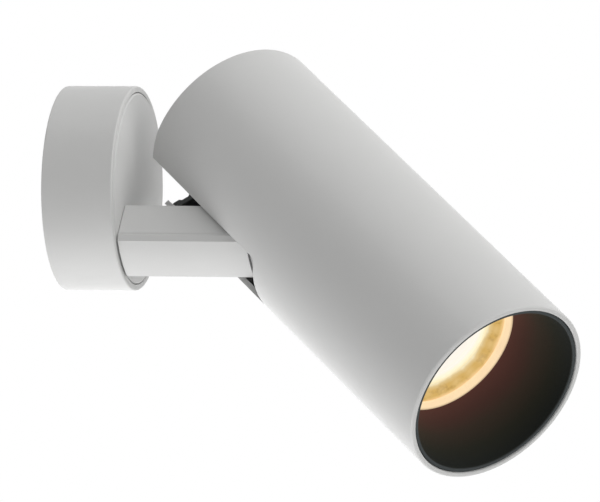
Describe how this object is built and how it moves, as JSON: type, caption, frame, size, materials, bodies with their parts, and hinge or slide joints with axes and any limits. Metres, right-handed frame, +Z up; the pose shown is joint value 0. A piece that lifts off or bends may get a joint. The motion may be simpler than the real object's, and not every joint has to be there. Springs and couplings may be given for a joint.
{
  "type": "surface mounted ceiling spotlight",
  "caption": "Round ceiling base with a swivelling side arm that carries a slotted cylindrical spotlight head, tilting on a friction hinge, with a deep black anti-glare cone.",
  "frame": {"origin": "centre of the base's flat face that lies on the ceiling", "axes": "+Z points up, into the ceiling, so the lamp hangs towards -Z; +X points from the base's axis towards the arm, which is also the side that the head tilts towards"},
  "size_m": [0.14, 0.06, 0.161],
  "materials": {
    "white_powder_coat": "fine matt powder coat",
    "zinc_plated_steel": "zinc plated, satin",
    "black_plastic": "moulded, matt",
    "black_rubber": "matt",
    "white_nylon": "moulded, matt",
    "brass": "satin",
    "grey_plastic": "moulded, matt",
    "cast_aluminium": "turned",
    "lamp_ceramic": "matt ceramic with a yellow phosphor face",
    "warm_reflector": "ribbed, lit warm white from inside",
    "clear_lens": "clear, lit warm white from inside",
    "pale_ring": "satin",
    "black_paint": "deep matt black"
  },
  "bodies": {
    "base": {"base_housing": "white_powder_coat", "mounting_plate": "zinc_plated_steel", "cable_bush": "black_rubber", "terminal_block": "white_nylon", "terminal_screws": "brass", "earth_screw": "zinc_plated_steel", "housing_grub_screws": "zinc_plated_steel", "pan_stop_pin": "zinc_plated_steel"},
    "swivel_arm": {"swivel_disc": "white_powder_coat", "pan_nipple": "zinc_plated_steel", "pan_wave_washer": "zinc_plated_steel", "pan_nut": "zinc_plated_steel", "arm_screws": "zinc_plated_steel", "arm_bar": "white_powder_coat", "arm_cover": "white_powder_coat", "arm_clamp_screw": "zinc_plated_steel", "lead_boot": "black_rubber", "hinge_lead": "black_rubber", "hinge_washers": "white_nylon"},
    "head": {"head_tube": "white_powder_coat", "tube_screws": "zinc_plated_steel", "rear_cap": "black_plastic", "cap_screws": "zinc_plated_steel", "driver_case": "grey_plastic", "hinge_bracket": "zinc_plated_steel", "bracket_screws": "zinc_plated_steel", "hinge_pin": "zinc_plated_steel", "hinge_nut": "zinc_plated_steel", "heat_sink": "cast_aluminium", "led_board": "cast_aluminium", "led_chip": "lamp_ceramic", "led_holder": "white_nylon", "reflector": "warm_reflector", "lens": "clear_lens", "lens_ring": "pale_ring", "baffle": "black_paint"}
  },
  "joints": [
    {"name": "base_swivel", "type": "hinge", "parent": "base", "child": "swivel_arm", "pos_m": [0, 0, 0], "axis": [0, 0, -1], "range_deg": [-165, 165]},
    {"name": "head_tilt", "type": "hinge", "parent": "swivel_arm", "child": "head", "pos_m": [0.0155, 0, -0.0605], "axis": [0, -1, 0], "range_deg": [-47, 43]}
  ]
}
